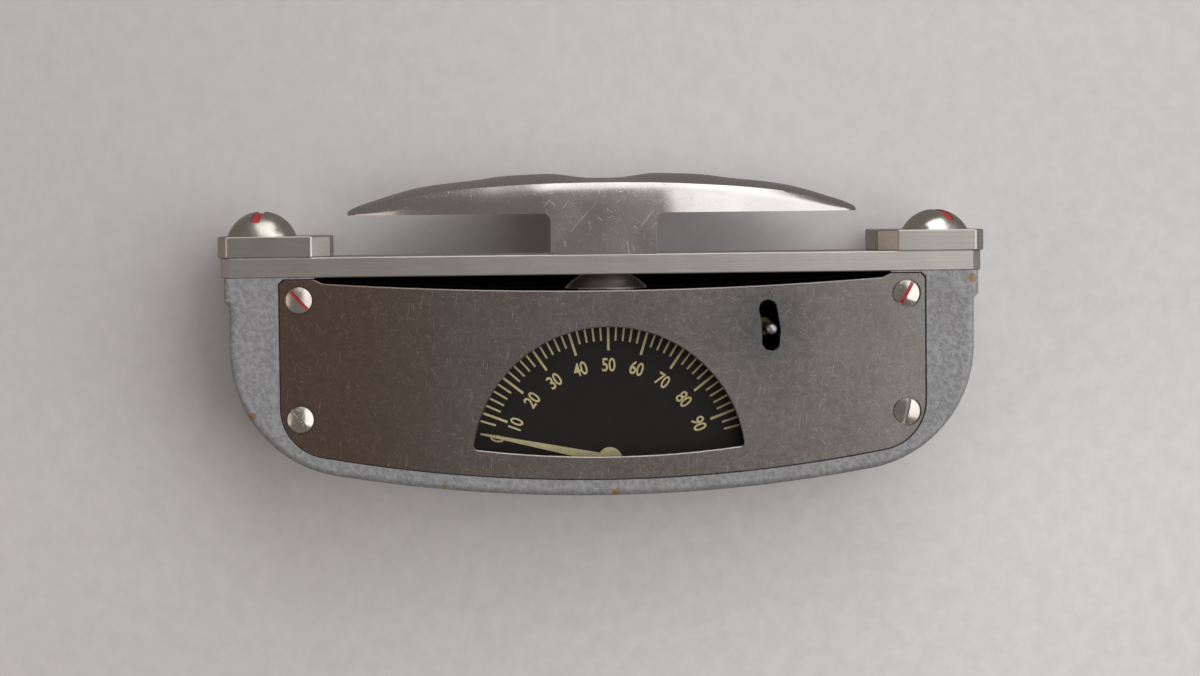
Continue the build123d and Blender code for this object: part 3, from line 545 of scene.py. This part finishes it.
def soften(obj, edge, segments=2):
    """Welds the mesh and rounds its sharp edges by edge millimetres."""
    weld = obj.modifiers.new("weld", "WELD")
    weld.merge_threshold = 0.00001
    bevel = obj.modifiers.new("edge", "BEVEL")
    bevel.width = edge * MM
    bevel.segments = segments
    bevel.limit_method = "ANGLE"
    bevel.angle_limit = math.radians(40)
    bevel.harden_normals = True
    bevel.use_clamp_overlap = True


def new_piece(name, verts, faces, smooth=True):
    """Mesh object from points in metres."""
    mesh = bpy.data.meshes.new(name)
    mesh.from_pydata([tuple(v) for v in verts], [], faces)
    mesh.validate()
    made = bmesh.new()
    made.from_mesh(mesh)
    bmesh.ops.remove_doubles(made, verts=made.verts, dist=1e-7)
    bmesh.ops.dissolve_degenerate(made, dist=1e-7, edges=made.edges)
    bmesh.ops.recalc_face_normals(made, faces=made.faces)
    made.to_mesh(mesh)
    made.free()
    for face in mesh.polygons:
        face.use_smooth = smooth
    obj = bpy.data.objects.new(name, mesh)
    bpy.context.scene.collection.objects.link(obj)
    return obj


# Half of the grip from the middle out: distance, crest and edge above the underside, half depth, in millimetres
GRIP_RAIL = (
    (0.0, 7.5, 6.4, 12.4), (3.6, 7.55, 6.4, 12.4), (6.8, 7.95, 6.35, 12.4), (10.4, 8.4, 6.3, 12.4),
    (13.2, 8.38, 6.2, 12.35), (16.0, 8.3, 6.1, 12.1), (21.5, 8.0, 5.8, 11.4), (27.0, 7.25, 5.45, 10.7),
    (34.0, 6.5, 4.8, 9.5), (39.5, 5.65, 4.1, 8.2), (44.0, 4.5, 3.3, 6.9), (48.5, 3.1, 2.2, 5.2),
    (51.6, 2.1, 1.45, 3.7), (53.4, 1.3, 0.85, 2.3), (54.2, 0.8, 0.5, 1.2),
)


def rail(x, column):
    """Smooth value of the grip's rail at a distance from the middle."""
    rows = GRIP_RAIL
    x = min(abs(x), rows[-1][0])
    for k in range(len(rows) - 1):
        if x <= rows[k + 1][0]:
            break
    def slope(i):
        if i == 0:
            return 0.0
        if i == len(rows) - 1:
            return (rows[i][column] - rows[i - 1][column]) / (rows[i][0] - rows[i - 1][0])
        return (rows[i + 1][column] - rows[i - 1][column]) / (rows[i + 1][0] - rows[i - 1][0])
    a, b = rows[k], rows[k + 1]
    span = b[0] - a[0]
    t = (x - a[0]) / span
    h00, h10 = 2 * t ** 3 - 3 * t ** 2 + 1, t ** 3 - 2 * t ** 2 + t
    h01, h11 = -2 * t ** 3 + 3 * t ** 2, t ** 3 - t ** 2
    return h00 * a[column] + h10 * span * slope(k) + h01 * b[column] + h11 * span * slope(k + 1)


def grip_mesh(settings):
    """The whole handle as one closed skin: grip, crown, root fillets and stem."""
    stem, gap, root, lean = (v / MM for v in (settings.stem_half, settings.gap, settings.root, settings.inset))
    floor = BAR_HIGH.z / MM
    low = floor + gap
    xs = [0.0, 1.2, 2.4, 3.6, 4.7, 5.8, 6.8, 8.0, 9.2, 10.4, stem]
    xs += [stem + root * (1 - math.cos(a)) for a in (0.35, 0.7, 1.05, 1.35)] + [stem + root]
    xs += [stem + root + 1.5 * k for k in range(1, 26)] + [51.6, 52.6, 53.4, 53.9, 54.2]
    xs = sorted({round(x, 4) for x in xs if x <= 54.2})
    cols = [-x for x in reversed(xs[1:])] + xs
    rows, arch, drop = 8, 12, 6
    verts, index = [], {}

    def base(x):
        out = abs(x) - stem
        if out <= 1e-6:
            return low - root
        if out >= root:
            return low
        return low - root + math.sqrt(max(root ** 2 - (root - out) ** 2, 0))

    def point(key, co):
        if key not in index:
            index[key] = len(verts)
            verts.append(Vector(co) * MM + Vector((GRIP_MID, 0, 0)))
        return index[key]

    def side(i, row, sign):
        x = cols[i]
        half, edge, bottom = rail(x, 3), low + rail(x, 2), base(x)
        t = row / rows
        z = bottom + (edge - bottom) * t
        rise = max(z - low, 0) / max(edge - low, 0.1)
        y = half - min(lean, half * 0.5) * rise ** 2.2
        return point(("s", i, row, sign), (x, sign * y, z))

    def crown(i, j):
        if j == 0:
            return side(i, rows, -1)
        if j == arch:
            return side(i, rows, 1)
        x = cols[i]
        half, edge, crest = rail(x, 3), low + rail(x, 2), low + rail(x, 1)
        reach = half - min(lean, half * 0.5)
        s = -1 + 2 * j / arch
        z = edge + (crest - edge) * (1 - abs(s) ** 1.8)
        return point(("c", i, j), (x, s * reach, z))

    def under(i, j, z=None, tag="u"):
        if tag == "u":
            if j == 0:
                return side(i, 0, -1)
            if j == drop:
                return side(i, 0, 1)
        x = cols[i]
        half = rail(x, 3)
        return point((tag, i, j), (x, half * (-1 + 2 * j / drop), base(x) if z is None else z))

    faces = []
    last = len(cols) - 1
    for i in range(last):
        for sign in (-1, 1):
            for r in range(rows):
                faces.append([side(i, r, sign), side(i + 1, r, sign),
                              side(i + 1, r + 1, sign), side(i, r + 1, sign)])
        for j in range(arch):
            faces.append([crown(i, j), crown(i + 1, j), crown(i + 1, j + 1), crown(i, j + 1)])
        if min(abs(cols[i]), abs(cols[i + 1])) >= stem - 1e-6 and abs(cols[i] + cols[i + 1]) > stem:
            for j in range(drop):
                faces.append([under(i, j), under(i, j + 1), under(i + 1, j + 1), under(i + 1, j)])
    for i in (0, last):
        ring = [side(i, r, -1) for r in range(rows + 1)] + [crown(i, j) for j in range(1, arch)]
        ring += [side(i, r, 1) for r in range(rows, -1, -1)] + [under(i, j) for j in range(drop - 1, 0, -1)]
        faces.append(ring)
    inner = [i for i, x in enumerate(cols) if abs(x) <= stem + 1e-6]
    steps = 4

    def stem_point(i, j, k):
        z = low - root + (floor - low + root) * k / steps
        if k == 0:
            return under(i, j) if i in (inner[0], inner[-1]) or j in (0, drop) else None
        return under(i, j, z, "d%d" % k)

    for a, b in zip(inner, inner[1:]):
        for j in (0, drop):
            for k in range(steps):
                faces.append([stem_point(a, j, k), stem_point(b, j, k),
                              stem_point(b, j, k + 1), stem_point(a, j, k + 1)])
        for j in range(drop):
            faces.append([stem_point(a, j, steps), stem_point(b, j, steps),
                          stem_point(b, j + 1, steps), stem_point(a, j + 1, steps)])
    for i in (inner[0], inner[-1]):
        for j in range(drop):
            for k in range(steps):
                faces.append([stem_point(i, j, k), stem_point(i, j + 1, k),
                              stem_point(i, j + 1, k + 1), stem_point(i, j, k + 1)])
    return verts, faces


class DYNO_OT_housing(bpy.types.Operator):
    """Paints the cast housing"""
    bl_idname = "dyno.housing"
    bl_label = "Housing"

    def execute(self, context):
        cad("housing", "paint", 0.25, 2)
        return {"FINISHED"}


class DYNO_OT_cover(bpy.types.Operator):
    """Finishes the front cover and its clear pane"""
    bl_idname = "dyno.cover"
    bl_label = "Front cover"

    def execute(self, context):
        cad("front_cover", "cover")
        cad("window_pane", "pane")
        return {"FINISHED"}


class DYNO_OT_spring_bar(bpy.types.Operator):
    """Builds the spring bar as two halves"""
    bl_idname = "dyno.spring_bar"
    bl_label = "Spring bar"

    def execute(self, context):
        low, high = BAR_LOW / MM, BAR_HIGH / MM
        cut, rim = 1.9, 0.2
        for name, sign in (("spring_bar_left", -1), ("spring_bar_right", 1)):
            rows = [(high.x, high.y - cut, rim), (high.x - rim, high.y - cut + rim, 0.0),
                    (high.x - cut, high.y, 0.0)]
            rows += [(76.0 - 2.0 * k, high.y, 0.0) for k in range(39)]
            verts, faces = [], []
            for x, half, tuck in rows:
                a, b, c, d = half - tuck, half - rim - tuck, low.z + tuck, high.z - tuck
                ring = [(-b, c), (b, c), (a, c + rim), (a, d - rim), (b, d), (-b, d), (-a, d - rim), (-a, c + rim)]
                verts += [Vector((sign * x, y, z)) * MM for y, z in ring]
            for k in range(len(rows) - 1):
                for a in range(8):
                    b = (a + 1) % 8
                    faces.append([8 * k + a, 8 * k + b, 8 * k + 8 + b, 8 * k + 8 + a])
            faces += [list(range(8)), [8 * (len(rows) - 1) + a for a in range(7, -1, -1)]]
            bar = new_piece(name, verts, faces, smooth=False)
            give(bar, "bar")
            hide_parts("flat_spring")
            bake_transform(bar)
        return {"FINISHED"}


class DYNO_OT_clamps(bpy.types.Operator):
    """Finishes the clamp plates and their round-head screws"""
    bl_idname = "dyno.clamps"
    bl_label = "Clamps"

    def execute(self, context):
        for side in ("left", "right"):
            cad("clamp_plate_" + side, "clamp")
            cad("clamp_screw_" + side, "screw")
            self.seal(side, math.radians(-12 if side == "left" else 30))
        return {"FINISHED"}

    def seal(self, side, turn):
        """Red paint that fills the front half of one dome's slot, following the dome."""
        low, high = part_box("clamp_screw_" + side)
        mid = (low + high) / 2
        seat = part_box("clamp_plate_" + side)[1].z
        radius, rise = (high.x - low.x) / 2, high.z - seat
        along = Vector((math.sin(turn), -math.cos(turn), 0))
        across = Vector((math.cos(turn), math.sin(turn), 0))
        rise += 0.02 * MM
        ball = (radius ** 2 + rise ** 2) / (2 * rise)
        rows, verts, faces = 12, [], []
        for k in range(rows + 1):
            out = (0.8 + (radius / MM - 2.6) * k / rows) * MM
            skin = seat + rise - ball + math.sqrt(ball ** 2 - out ** 2)
            top = skin - (0.28 + 0.12 * noise.noise(Vector((k * 0.5, radius * 900, 1.0)))) * MM
            floor = min(high.z - 2.3 * MM, top - 0.1 * MM)
            for w, z in ((-0.97, top), (0.97, top), (0.97, floor), (-0.97, floor)):
                spot = Vector((mid.x, mid.y, 0)) + along * out + across * w * MM
                verts.append(Vector((spot.x, spot.y, z)))
        for k in range(rows):
            for a in range(4):
                b = (a + 1) % 4
                faces.append([4 * k + a, 4 * k + b, 4 * k + 4 + b, 4 * k + 4 + a])
        faces += [[3, 2, 1, 0], [4 * rows + a for a in range(4)]]
        give(new_piece("seal_clamp_screw_" + side, verts, faces, smooth=False), "seal", "frame")


class DYNO_OT_grip(bpy.types.Operator):
    """Builds the polished T handle"""
    bl_idname = "dyno.grip"
    bl_label = "Grip handle"

    def execute(self, context):
        verts, faces = grip_mesh(context.scene.dyno_grip)
        if any(k is None for face in faces for k in face):
            raise RuntimeError("the handle's skin has a missing point")
        grip = new_piece("polished_grip", verts, faces)
        bevel = grip.modifiers.new("edge", "BEVEL")
        bevel.width = 0.28 * MM
        bevel.segments = 3
        bevel.limit_method = "ANGLE"
        bevel.angle_limit = math.radians(38)
        bevel.harden_normals = True
        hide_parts("grip_handle")
        give(grip, "grip", "grip")
        cad("domed_washer", "washer", 0.25, 3)
        for node in ("handle_bolt", "pusher_screw", "pusher_lock_nut"):
            cad(node, "steel")
        return {"FINISHED"}


def stroke(cx, cz, inner, outer, angle, width, y):
    """Thin raised mark along a radius, as points and faces."""
    along = Vector((-math.cos(angle), 0, math.sin(angle)))
    across = Vector((math.sin(angle), 0, math.cos(angle))) * width / 2
    centre = Vector((cx, 0, cz))
    front = [centre + along * inner - across, centre + along * outer - across,
             centre + along * outer + across, centre + along * inner + across]
    verts = [p + Vector((0, y - 0.00003, 0)) for p in front] + [p + Vector((0, y + 0.00001, 0)) for p in front]
    faces = [[0, 1, 2, 3], [7, 6, 5, 4], [0, 4, 5, 1], [1, 5, 6, 2], [2, 6, 7, 3], [3, 7, 4, 0]]
    return verts, faces


class DYNO_OT_dial(bpy.types.Operator):
    """Prints the scale and numbers on the dial and paints the pointer"""
    bl_idname = "dyno.dial"
    bl_label = "Dial"

    def execute(self, context):
        d = context.scene.dyno_dial
        cad("dial_plate", "dial")
        cad("dial_screws", "screw")
        cad("pointer", "pointer", 0.08, 2)
        for node in ("pointer_hub", "pointer_arbor"):
            cad(node, "brass")
        verts, faces = [], []
        for kilo in range(8, d.last + 1, 2):
            major = kilo % 10 == 0
            angle = d.first + (kilo - 10) * d.per_kilo
            more, sides = stroke(AXIS.x, AXIS.z, d.ring - (5.4 if major else 3.3) * MM, d.ring, angle,
                                 (0.5 if major else 0.4) * MM, DIAL_FACE)
            faces += [[k + len(verts) for k in side] for side in sides]
            verts += more
        marks = new_piece("dial_ticks", verts, faces, smooth=False)
        give(marks, "marks", "frame")
        for kilo in range(0, 100, 10):
            angle = d.first + (kilo - 10) * d.per_kilo if kilo else math.radians(11.0)
            curve = bpy.data.curves.new("number_%d" % kilo, "FONT")
            curve.body = str(kilo)
            curve.size = 3.95 * MM
            curve.offset = 0.00005
            curve.align_x = "CENTER"
            curve.align_y = "CENTER"
            curve.extrude = 0.00002
            curve.space_character = 0.95
            text = bpy.data.objects.new("number_%d" % kilo, curve)
            context.scene.collection.objects.link(text)
            spread = (0.00075 if kilo < 50 else 0.00025) * (kilo - 50) ** 2 * MM
            ring = d.number_ring + spread if kilo else 24.0 * MM
            spot = Vector((AXIS.x - ring * math.cos(angle), DIAL_FACE - 0.00002, AXIS.z + ring * math.sin(angle)))
            upright = math.pi / 2 - angle
            text.matrix_world = (Matrix.Translation(spot) @ Matrix.Rotation(-upright, 4, "Y")
                                 @ Matrix.Rotation(math.pi / 2, 4, "X") @ Matrix.Diagonal((0.78, 1, 1, 1)))
            context.view_layer.update()
            mesh = bpy.data.meshes.new_from_object(text.evaluated_get(context.evaluated_depsgraph_get()))
            mesh.transform(text.matrix_world)
            bpy.data.objects.remove(text)
            number = bpy.data.objects.new("dial_number_%d" % kilo, mesh)
            context.scene.collection.objects.link(number)
            mesh.materials.clear()
            give(number, "marks", "frame")
        return {"FINISHED"}


class DYNO_OT_cover_screws(bpy.types.Operator):
    """Finishes the cover screws and puts the red sealing paint in the slots"""
    bl_idname = "dyno.cover_screws"
    bl_label = "Cover screws"

    def execute(self, context):
        cad("cover_screws", "screw")
        for sign, turn in ((-1, 48), (1, -60)):
            self.seal(sign, math.radians(turn))
        return {"FINISHED"}

    def seal(self, sign, turn):
        """Ragged strip of red paint in the slot of one upper screw."""
        low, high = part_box("cover_screws")
        centre = Vector((sign * (high.x - low.x) / 2 - sign * 2.7 * MM, 0, high.z - 2.7 * MM))
        along = Vector((math.cos(turn), 0, -math.sin(turn)))
        across = Vector((math.sin(turn), 0, math.cos(turn)))
        rows = 14
        verts, faces = [], []
        for k in range(rows + 1):
            t = -2.45 + 4.9 * k / rows
            wide = 0.36 - 0.07 * noise.noise(Vector((k * 0.7, sign * 3.0, 0.0)))
            top = (low.y + (0.22 + 0.10 * noise.noise(Vector((k * 0.45, sign * 7.0, 2.0)))) * MM
                   + 0.06 * MM * (t / 2.45) ** 2 * 6)
            for w, y in ((-wide, top), (wide, top), (wide, FRONT + 0.26 * MM), (-wide, FRONT + 0.26 * MM)):
                spot = centre + along * t * MM + across * w * MM
                verts.append(Vector((spot.x, y, spot.z)))
        for k in range(rows):
            for a in range(4):
                b = (a + 1) % 4
                faces.append([4 * k + a, 4 * k + b, 4 * k + 4 + b, 4 * k + 4 + a])
        faces += [[3, 2, 1, 0], [4 * rows + a for a in range(4)]]
        name = "seal_cover_screw_" + ("left" if sign < 0 else "right")
        give(new_piece(name, verts, faces, smooth=False), "seal", "frame")


class DYNO_OT_movement(bpy.types.Operator):
    """Finishes the movement behind the dial"""
    bl_idname = "dyno.movement"
    bl_label = "Movement"

    def execute(self, context):
        for node in ("movement_front_plate", "movement_back_plate", "movement_pillars", "pointer_bushes",
                     "lever_bushes", "sector_lever", "sector_collar", "brake_disc", "reset_lever"):
            cad(node, "brass")
        for node in ("pillar_screws", "mounting_screws", "spring_post", "zero_stop_pin", "reset_stud",
                     "sector_arbor", "return_spring", "pinion", "reset_pin"):
            cad(node, "steel")
        return {"FINISHED"}


class DYNO_OT_stage(bpy.types.Operator):
    """Sets the pale sheet behind, the soft lights and the camera"""
    bl_idname = "dyno.stage"
    bl_label = "Stage"

    def execute(self, context):
        self.sheet()
        self.light("right_window", (1.3, -1.15, 0.25), 2.4, 28.0, (1.0, 0.99, 0.98))
        self.light("top_softbox", (0.15, -0.40, 0.95), 0.9, 5.0, (1.0, 0.99, 0.98))
        self.light("left_bounce", (-0.95, -0.55, 0.0), 0.8, 1.8, (1.0, 0.84, 0.72))
        world = bpy.data.worlds.new("studio")
        world.use_nodes = True
        world.node_tree.nodes["Background"].inputs["Color"].default_value = (0.56, 0.51, 0.48, 1)
        world.node_tree.nodes["Background"].inputs["Strength"].default_value = 0.38
        context.scene.world = world
        context.scene.view_settings.view_transform = "Standard"
        self.camera(context)
        return {"FINISHED"}

    def sheet(self):
        """Pale paper that the back lies against, with painted shade darkening its left side and top and near-black
        painted shade behind the slit under the bar; only camera rays see it.
        """
        size, y = 1.2, -FRONT + 0.00005
        verts = [(-size, y, -size), (size, y, -size), (size, y, size), (-size, y, size)]
        paper = new_piece("paper_sheet", verts, [[0, 1, 2, 3]], smooth=False)
        made, tree, shader = material("pale_paper")
        place = position_mm(tree)
        fibre = add(tree, "ShaderNodeTexNoise", values={"Scale": 0.25, "Detail": 6.0, "Roughness": 0.6})
        tree.links.new(place, fibre.inputs["Vector"])
        tone = blended(tree, ramp(tree, fibre.outputs["Fac"], 0.3, 0.7), (0.74, 0.74, 0.745), (0.80, 0.80, 0.805))
        # Painted shade: the paper darkens towards the left, away from the key light on the right.
        side = ramp(tree, axis_of(tree, place, "X"), -130.0, 110.0, 0.35, 0.0)
        tone = blended(tree, side, tone, (0.38, 0.375, 0.385))
        # Painted shade: the paper darkens towards the top.
        rise = ramp(tree, axis_of(tree, place, "Z"), -20.0, 90.0, 0.0, 0.3)
        tone = blended(tree, rise, tone, (0.40, 0.40, 0.405))
        # Painted shade: the paper is near-black behind the slit under the bar, standing in for the shadow inside
        # it.
        side = math_node(tree, "ABSOLUTE", axis_of(tree, place, "X"))
        slit = math_node(tree, "MULTIPLY", within(tree, axis_of(tree, place, "Z"), SLIT_LOW, BAR_LOW.z / MM + 0.5),
                         math_node(tree, "LESS_THAN", side, SLIT_HALF))
        tree.links.new(blended(tree, slit, tone, (0.006, 0.006, 0.006)), shader.inputs["Base Color"])
        tree.links.new(math_node(tree, "MULTIPLY", math_node(tree, "SUBTRACT", 1.0, slit), 0.5),
                       shader.inputs["Specular IOR Level"])
        shader.inputs["Roughness"].default_value = 0.85
        seen = add(tree, "ShaderNodeLightPath")
        face = add(tree, "ShaderNodeNewGeometry")
        clear = add(tree, "ShaderNodeBsdfTransparent")
        mix = add(tree, "ShaderNodeMixShader")
        show = math_node(tree, "MULTIPLY", seen.outputs["Is Camera Ray"],
                         math_node(tree, "SUBTRACT", 1.0, face.outputs["Backfacing"]))
        tree.links.new(show, mix.inputs[0])
        tree.links.new(clear.outputs[0], mix.inputs[1])
        tree.links.new(shader.outputs[0], mix.inputs[2])
        tree.links.new(mix.outputs[0], tree.nodes["Material Output"].inputs["Surface"])
        paper.data.materials.append(made)
        if paper.data.polygons[0].normal.y > 0:
            paper.data.flip_normals()

    def light(self, name, place, size, power, colour):
        """Square area light aimed at the middle of the object."""
        data = bpy.data.lights.new(name, "AREA")
        data.size, data.energy, data.color = size, power, colour
        lamp = bpy.data.objects.new(name, data)
        lamp.location = place
        aim = Vector((0, 0, 0.03)) - Vector(place)
        lamp.rotation_euler = aim.to_track_quat("-Z", "Y").to_euler()
        bpy.context.scene.collection.objects.link(lamp)

    def camera(self, context):
        """Camera where the photograph was taken."""
        c = context.scene.dyno_camera
        data = bpy.data.cameras.new("photo_camera")
        data.sensor_width = 36.0
        data.lens = 36.0 * c.distance / c.scale / 1200
        data.clip_start = 0.01
        camera = bpy.data.objects.new("photo_camera", data)
        place = Matrix.Translation((c.side, FRONT - c.distance, c.height))
        turn = Matrix.Rotation(-c.yaw, 4, "Z") @ Matrix.Rotation(math.pi / 2 - c.pitch, 4, "X")
        camera.matrix_world = place @ turn @ Matrix.Rotation(c.roll, 4, "Z")
        context.scene.collection.objects.link(camera)
        context.scene.camera = camera


class DYNO_PT_panel(bpy.types.Panel):
    """Lists the dynamometer's pieces and settings"""
    bl_idname = "DYNO_PT_panel"
    bl_label = "Dynamometer"
    bl_space_type = "VIEW_3D"
    bl_region_type = "UI"
    bl_category = "Dynamometer"

    def draw(self, context):
        for operator in OPERATORS:
            self.layout.operator(operator.bl_idname)
        for name in SETTINGS:
            group = getattr(context.scene, name)
            for key in group.bl_rna.properties.keys():
                if key not in ("rna_type", "name"):
                    self.layout.prop(group, key)


OPERATORS = (
    DYNO_OT_housing, DYNO_OT_cover, DYNO_OT_spring_bar, DYNO_OT_clamps, DYNO_OT_grip, DYNO_OT_dial,
    DYNO_OT_cover_screws, DYNO_OT_movement, DYNO_OT_stage,
)
SETTINGS = {
    "dyno_camera": DynoCameraSettings, "dyno_grip": DynoGripSettings,
    "dyno_dial": DynoDialSettings, "dyno_finish": DynoFinishSettings,
}


def register():
    for cls in (*SETTINGS.values(), *OPERATORS, DYNO_PT_panel):
        bpy.utils.register_class(cls)
    for name, cls in SETTINGS.items():
        setattr(bpy.types.Scene, name, PointerProperty(type=cls))


def unregister():
    for name in SETTINGS:
        delattr(bpy.types.Scene, name)
    for cls in reversed((*SETTINGS.values(), *OPERATORS, DYNO_PT_panel)):
        bpy.utils.unregister_class(cls)


def main():
    register()
    for operator in OPERATORS:
        group, name = operator.bl_idname.split(".")
        getattr(getattr(bpy.ops, group), name)()


if __name__ == "__main__":
    main()
